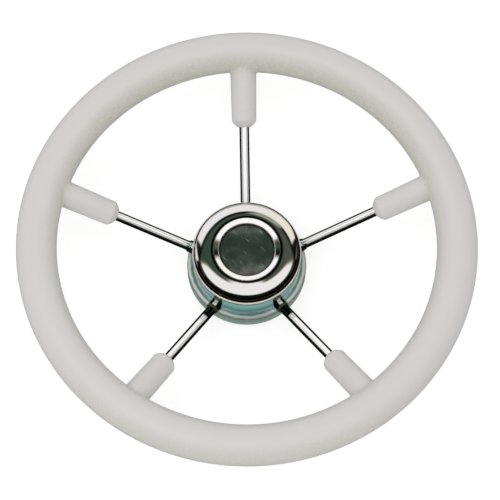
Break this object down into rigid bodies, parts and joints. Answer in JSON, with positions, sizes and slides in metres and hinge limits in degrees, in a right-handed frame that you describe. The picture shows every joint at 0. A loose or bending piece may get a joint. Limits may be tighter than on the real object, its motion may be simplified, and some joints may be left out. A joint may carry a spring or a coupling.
{
  "type": "boat steering wheel",
  "caption": "Boat steering wheel with a thick white moulded grip, polished rods that slope down to a mirror-polished hub, and a domed cap over the tapered bore.",
  "frame": {"origin": "centre of the hub's back face, in the mouth of the tapered bore", "axes": "+Z along the wheel's axis towards the driver, +Y through the first spoke"},
  "size_m": [0.35, 0.35, 0.0735],
  "materials": {
    "white_grip": "fine-grained self-skinned polyurethane",
    "polished_steel": "mirror-polished stainless steel",
    "plain_steel": "turned",
    "screw_steel": "plain",
    "dark_brass": "dulled braze",
    "dark_disc": "satin lacquer",
    "black_plastic": "moulded",
    "black_rubber": "matt"
  },
  "bodies": {
    "root": {"rim_grip": "white_grip", "rim_core": "plain_steel", "hub_boss": "plain_steel", "dish_screws": "screw_steel", "hub_drum": "polished_steel", "hub_dish": "polished_steel", "centre_cap": "polished_steel", "cap_disc": "dark_disc", "cap_ring": "black_plastic", "cap_o_ring": "black_rubber", "spoke_1": "polished_steel", "spoke_2": "polished_steel", "spoke_3": "polished_steel", "spoke_4": "polished_steel", "spoke_5": "polished_steel", "spoke_ferrule_1": "dark_brass", "spoke_ferrule_2": "dark_brass", "spoke_ferrule_3": "dark_brass", "spoke_ferrule_4": "dark_brass", "spoke_ferrule_5": "dark_brass"}
  },
  "joints": []
}
